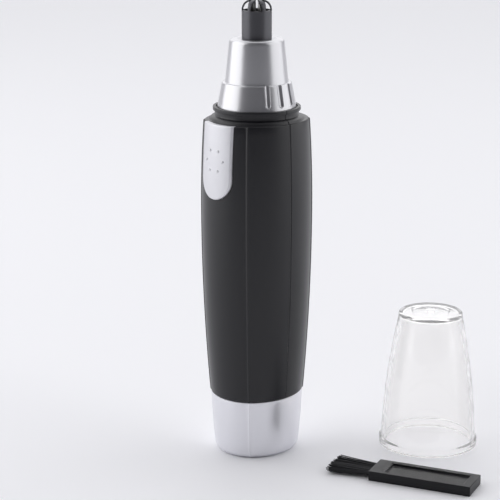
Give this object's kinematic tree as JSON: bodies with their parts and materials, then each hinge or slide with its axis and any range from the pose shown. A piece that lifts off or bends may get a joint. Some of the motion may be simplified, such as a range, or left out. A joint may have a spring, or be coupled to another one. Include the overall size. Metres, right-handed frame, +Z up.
{
  "type": "nose hair trimmer",
  "caption": "Slim battery trimmer with a barrel body, slide switch, twist-off silver head with a slotted cutter tube, twist-off battery cap, clear protective cap and cleaning brush.",
  "frame": {"origin": "centre of the trimmer's flat base, on the surface it stands on", "axes": "+Z up along the body to the cutter, -Y towards the slide switch, the casing halves part along Y = 0"},
  "size_m": [0.0803, 0.0679, 0.126],
  "materials": {
    "satin_black": "satin moulded black",
    "inner_black": "plain moulded black",
    "silver_cap": "smooth satin silver paint",
    "silver_head": "satin silver paint",
    "silver_switch": "satin silver paint",
    "gunmetal": "dark drawn steel",
    "blade_steel": "ground blade steel",
    "bright_steel": "plated sheet steel",
    "spring_steel": "nickel-plated wire",
    "brass_contact": "bright rolled brass",
    "bronze": "sintered bronze",
    "magnet": "dull ferrite",
    "copper": "enamelled copper wire",
    "white_plastic": "natural nylon",
    "grey_plastic": "plain moulded grey",
    "battery_label": "printed sleeve",
    "battery_steel": "nickel-plated can",
    "clear_plastic": "clear moulded",
    "brush_black": "moulded black",
    "bristle_black": "nylon bristle"
  },
  "bodies": {
    "casing": {"front_casing": "satin_black", "rear_casing": "satin_black", "chassis": "white_plastic", "battery_cell": "battery_steel", "battery_label": "battery_label", "positive_contact": "brass_contact", "negative_strip": "brass_contact", "motor_strip": "brass_contact", "motor_can": "bright_steel", "motor_end_bell": "white_plastic", "motor_magnets": "magnet", "motor_bushings": "bronze", "motor_terminals": "brass_contact", "motor_brushes": "brass_contact"},
    "switch": {"switch_button": "silver_switch", "switch_carrier": "grey_plastic", "switch_contact": "brass_contact"},
    "drive": {"motor_shaft": "bright_steel", "armature_core": "bright_steel", "armature_windings": "copper", "motor_commutator": "copper", "drive_coupling": "white_plastic", "blade_spindle": "grey_plastic", "blade_spring": "spring_steel", "inner_blade": "blade_steel"},
    "head": {"head_cover": "silver_head", "head_insert": "inner_black", "cutter_tube": "gunmetal", "tube_retainer": "inner_black"},
    "battery_end": {"battery_cap": "silver_cap", "cap_insert": "inner_black", "battery_spring": "spring_steel", "spring_plate": "brass_contact"},
    "protective_cap": {"clear_cap": "clear_plastic"},
    "cleaning_brush": {"brush_handle": "brush_black", "brush_bristles": "bristle_black"}
  },
  "joints": [
    {"name": "power_switch", "type": "slide", "parent": "casing", "child": "switch", "axis": [0, 0, 1], "range_m": [0, 0.003]},
    {"name": "blade_spin", "type": "hinge", "parent": "casing", "child": "drive", "pos_m": [0, 0, 0.09], "axis": [0, 0, 1], "continuous": true},
    {"name": "head_twist", "type": "hinge", "parent": "casing", "child": "head", "pos_m": [0, 0, 0.1], "axis": [0, 0, 1], "range_deg": [0, 25]},
    {"name": "battery_cap_twist", "type": "hinge", "parent": "casing", "child": "battery_end", "pos_m": [0, 0, 0.008], "axis": [0, 0, 1], "range_deg": [0, 30]},
    {"name": "clear_cap_lift", "type": "slide", "parent": "casing", "child": "protective_cap", "axis": [0, 0, 1], "range_m": [0, 0.13]},
    {"name": "brush_lift", "type": "slide", "parent": "casing", "child": "cleaning_brush", "axis": [0, 0, 1], "range_m": [0, 0.05]}
  ]
}
